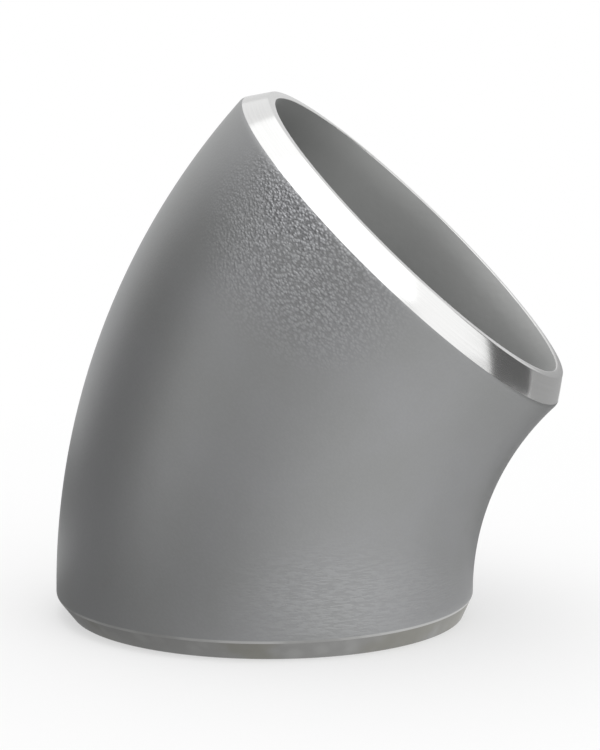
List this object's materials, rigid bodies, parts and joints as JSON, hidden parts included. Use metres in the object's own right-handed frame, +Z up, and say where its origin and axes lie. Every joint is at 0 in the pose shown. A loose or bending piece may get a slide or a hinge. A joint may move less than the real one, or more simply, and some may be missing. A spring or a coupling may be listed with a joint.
{
  "type": "forty-five degree elbow",
  "caption": "Butt-weld pipe elbow that turns a stainless steel line through forty-five degrees, with a machined weld bevel and an open bore at each end.",
  "frame": {"origin": "on the plane that the elbow stands on, under the middle of its outline", "axes": "+Z up along the lower end's axis, into the fitting; the bend lies in the XZ plane and leans towards +X, so the upper end faces +X and +Z; +Y across the bend"},
  "size_m": [0.0724, 0.0604, 0.0741],
  "materials": {
    "stainless_steel": "pickled and blasted satin grey, with weld bevels and root faces as machined"
  },
  "bodies": {
    "root": {"elbow_body": "stainless_steel"}
  },
  "joints": []
}
